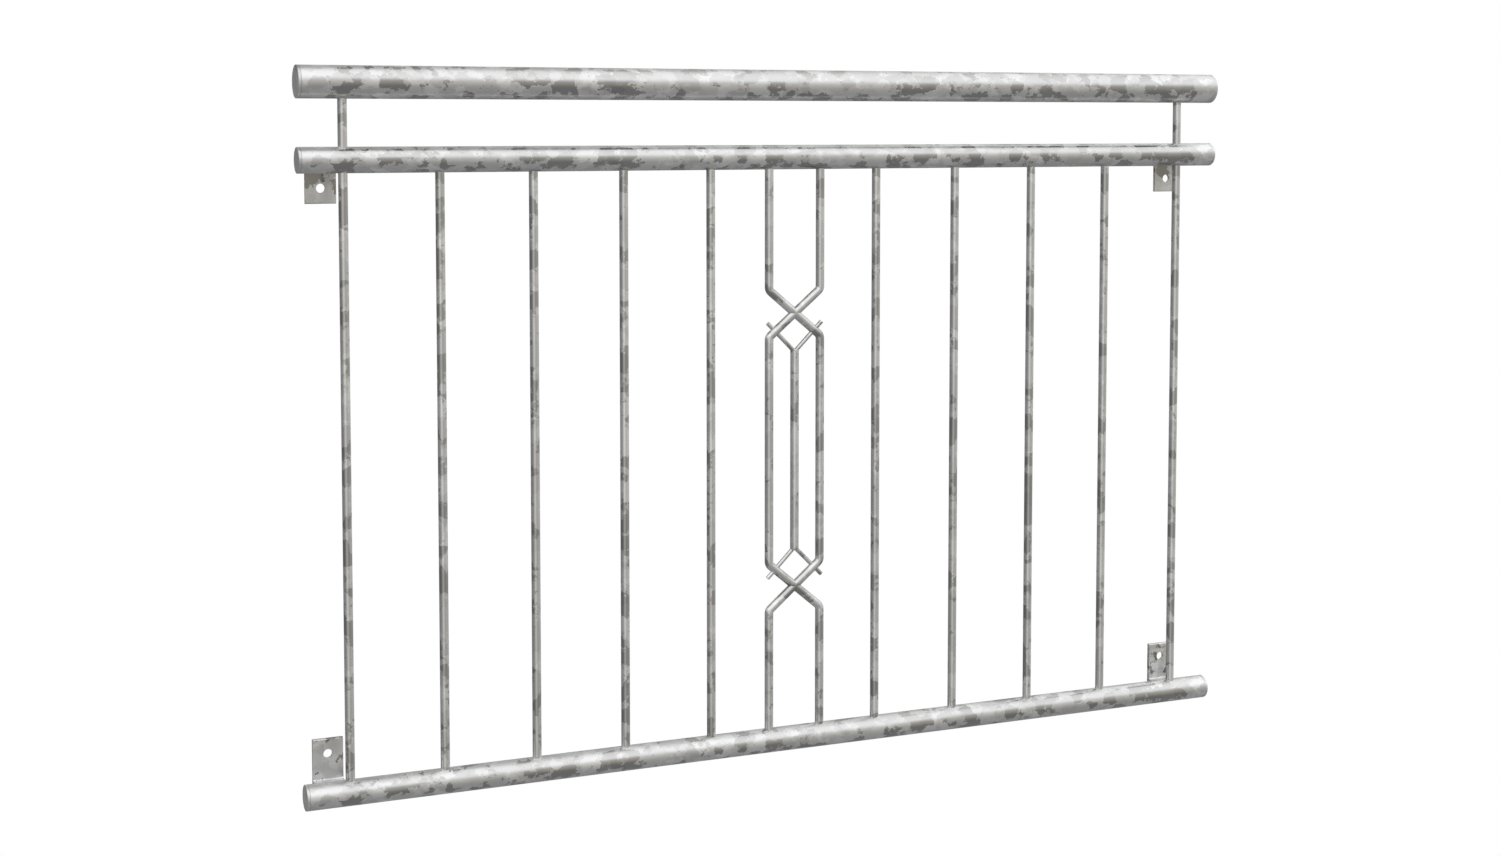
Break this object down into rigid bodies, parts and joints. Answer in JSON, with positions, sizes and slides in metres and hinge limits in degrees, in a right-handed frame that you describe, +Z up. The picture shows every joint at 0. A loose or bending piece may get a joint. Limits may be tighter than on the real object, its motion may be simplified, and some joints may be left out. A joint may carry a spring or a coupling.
{
  "type": "juliet balcony",
  "caption": "Flat wall-mounted juliet balcony of galvanised steel: tube rails, upright round bars, a bent bar ornament in the middle and a raised handrail.",
  "frame": {"origin": "on the wall face of the lower left bracket, at the middle of its width and 20 mm above its heel, below the bolt hole", "axes": "+X to the right along the rails, +Y into the wall, +Z up"},
  "size_m": [1.375, 0.0776, 0.9516],
  "materials": {
    "tube_steel": "hot-dip galvanised, patchy bright and dull grey spangle",
    "cap_steel": "hot-dip galvanised, patchy bright and dull grey spangle",
    "bar_steel": "hot-dip galvanised, patchy bright and dull grey spangle",
    "bracket_steel": "hot-dip galvanised, patchy bright and dull grey spangle"
  },
  "bodies": {
    "root": {"handrail": "tube_steel", "upper_rail": "tube_steel", "lower_rail": "tube_steel", "handrail_cap_left": "cap_steel", "handrail_cap_right": "cap_steel", "upper_rail_cap_left": "cap_steel", "upper_rail_cap_right": "cap_steel", "lower_rail_cap_left": "cap_steel", "lower_rail_cap_right": "cap_steel", "post_left": "bar_steel", "post_right": "bar_steel", "handrail_post_left": "bar_steel", "handrail_post_right": "bar_steel", "bar_left_1": "bar_steel", "bar_left_2": "bar_steel", "bar_left_3": "bar_steel", "bar_left_4": "bar_steel", "bar_right_1": "bar_steel", "bar_right_2": "bar_steel", "bar_right_3": "bar_steel", "bar_right_4": "bar_steel", "bent_bar_left": "bar_steel", "bent_bar_right": "bar_steel", "centre_bar": "bar_steel", "v_rod_upper": "bar_steel", "v_rod_lower": "bar_steel", "bracket_lower_left": "bracket_steel", "bracket_lower_right": "bracket_steel", "bracket_upper_left": "bracket_steel", "bracket_upper_right": "bracket_steel"}
  },
  "joints": []
}
